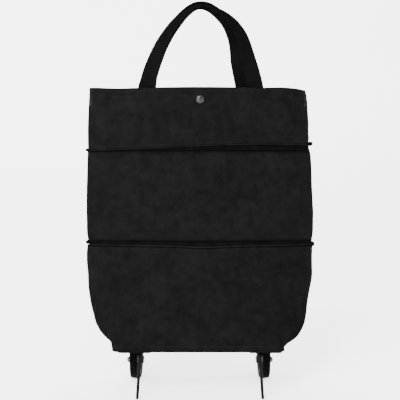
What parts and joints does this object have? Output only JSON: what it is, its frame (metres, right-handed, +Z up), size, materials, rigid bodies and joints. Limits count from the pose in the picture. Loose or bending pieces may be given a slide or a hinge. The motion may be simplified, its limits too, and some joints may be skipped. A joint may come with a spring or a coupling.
{
  "type": "folding shopping trolley bag",
  "caption": "Slim cloth tote on folding wheels and wire stand legs, with an all-round zip that shortens the bag, two webbing handles and a press stud.",
  "frame": {"origin": "middle of the footprint, on the floor", "axes": "+Z up, +X to the right seen from the front, front faces -Y"},
  "size_m": [0.3616, 0.1215, 0.6115],
  "materials": {
    "cloth": "close plain-weave polyester, coated inside, soft sheen",
    "lining": "thin plain lining cloth",
    "webbing": "ribbed polyester webbing",
    "zip_tape": "woven zip tape",
    "zip_coil": "moulded nylon coil",
    "zip_metal": "black lacquered zinc",
    "stud_metal": "gunmetal, glossy",
    "board": "stiff moulded sheet, fine grain",
    "steel": "pressed sheet steel, dark zinc",
    "fastener": "bright plated",
    "nylon": "natural nylon",
    "tyre": "solid rubber tread",
    "hub": "moulded, satin",
    "wire": "plated spring wire"
  },
  "bodies": {
    "base": {"lower_section": "cloth", "base_panel": "cloth", "middle_section": "cloth", "zip_tape_lower": "zip_tape", "zip_coil_lower": "zip_coil", "base_tray": "board", "base_insert": "board", "hinge_plate_right": "steel", "hinge_plate_left": "steel", "plate_screws_right": "fastener", "plate_screws_left": "fastener", "plate_nuts_right": "fastener", "plate_nuts_left": "fastener", "hinge_pin_right": "fastener", "hinge_pin_left": "fastener", "friction_washers_right": "nylon", "friction_washers_left": "nylon"},
    "top": {"top_section": "cloth", "hem_facing": "lining", "stud_cap": "stud_metal", "stud_socket": "stud_metal", "stud_back_cap": "stud_metal", "stud_nipple": "stud_metal", "handle_tails": "webbing", "zip_tape_upper": "zip_tape", "zip_coil_upper": "zip_coil"},
    "handle_front": {"handle_front": "webbing"},
    "handle_back": {"handle_back": "webbing"},
    "zip_slider": {"zip_slider": "zip_metal"},
    "zip_pull": {"zip_pull": "zip_metal"},
    "wheel_arm_right": {"wheel_bracket_right": "steel", "axle_right": "fastener", "axle_cap_nut_right": "fastener"},
    "wheel_right": {"tyre_right": "tyre", "wheel_hub_right": "hub", "axle_bush_right": "nylon"},
    "leg_right": {"wire_leg_right": "wire"},
    "wheel_arm_left": {"wheel_bracket_left": "steel", "axle_left": "fastener", "axle_cap_nut_left": "fastener"},
    "wheel_left": {"tyre_left": "tyre", "wheel_hub_left": "hub", "axle_bush_left": "nylon"},
    "leg_left": {"wire_leg_left": "wire"}
  },
  "joints": [
    {"name": "bag_collapse", "type": "slide", "parent": "base", "child": "top", "axis": [0, 0, 1], "range_m": [-0.133, 0], "deforming": ["middle_section"]},
    {"name": "handle_front_swing", "type": "hinge", "parent": "top", "child": "handle_front", "pos_m": [0, -0.0235, 0.473], "axis": [1, 0, 0], "range_deg": [0, 165]},
    {"name": "handle_back_swing", "type": "hinge", "parent": "top", "child": "handle_back", "pos_m": [0, 0.0235, 0.473], "axis": [-1, 0, 0], "range_deg": [0, 165]},
    {"name": "zip_slider_run", "type": "hinge", "parent": "top", "child": "zip_slider", "pos_m": [0, -0.7172, 0.3735], "axis": [0, 0, 1], "range_deg": [0, 18.37]},
    {"name": "zip_pull_swing", "type": "hinge", "parent": "zip_slider", "child": "zip_pull", "pos_m": [0.11848, 0.01548, 0.3735], "axis": [0.9872, -0.1596, 0], "range_deg": [0, 150]},
    {"name": "wheel_fold_right", "type": "hinge", "parent": "base", "child": "wheel_arm_right", "pos_m": [0.09, 0.028, 0.063], "axis": [0, 1, 0], "range_deg": [0, 90]},
    {"name": "wheel_spin_right", "type": "hinge", "parent": "wheel_arm_right", "child": "wheel_right", "pos_m": [0.1055, 0.03, 0.03], "axis": [1, 0, 0], "continuous": true},
    {"name": "leg_fold_right", "type": "hinge", "parent": "base", "child": "leg_right", "pos_m": [0.09, -0.032, 0.063], "axis": [0, 1, 0], "range_deg": [0, 93]},
    {"name": "wheel_fold_left", "type": "hinge", "parent": "base", "child": "wheel_arm_left", "pos_m": [-0.09, 0.028, 0.063], "axis": [0, -1, 0], "range_deg": [0, 90]},
    {"name": "wheel_spin_left", "type": "hinge", "parent": "wheel_arm_left", "child": "wheel_left", "pos_m": [-0.1055, 0.03, 0.03], "axis": [1, 0, 0], "continuous": true},
    {"name": "leg_fold_left", "type": "hinge", "parent": "base", "child": "leg_left", "pos_m": [-0.09, -0.032, 0.063], "axis": [0, -1, 0], "range_deg": [0, 93]}
  ]
}
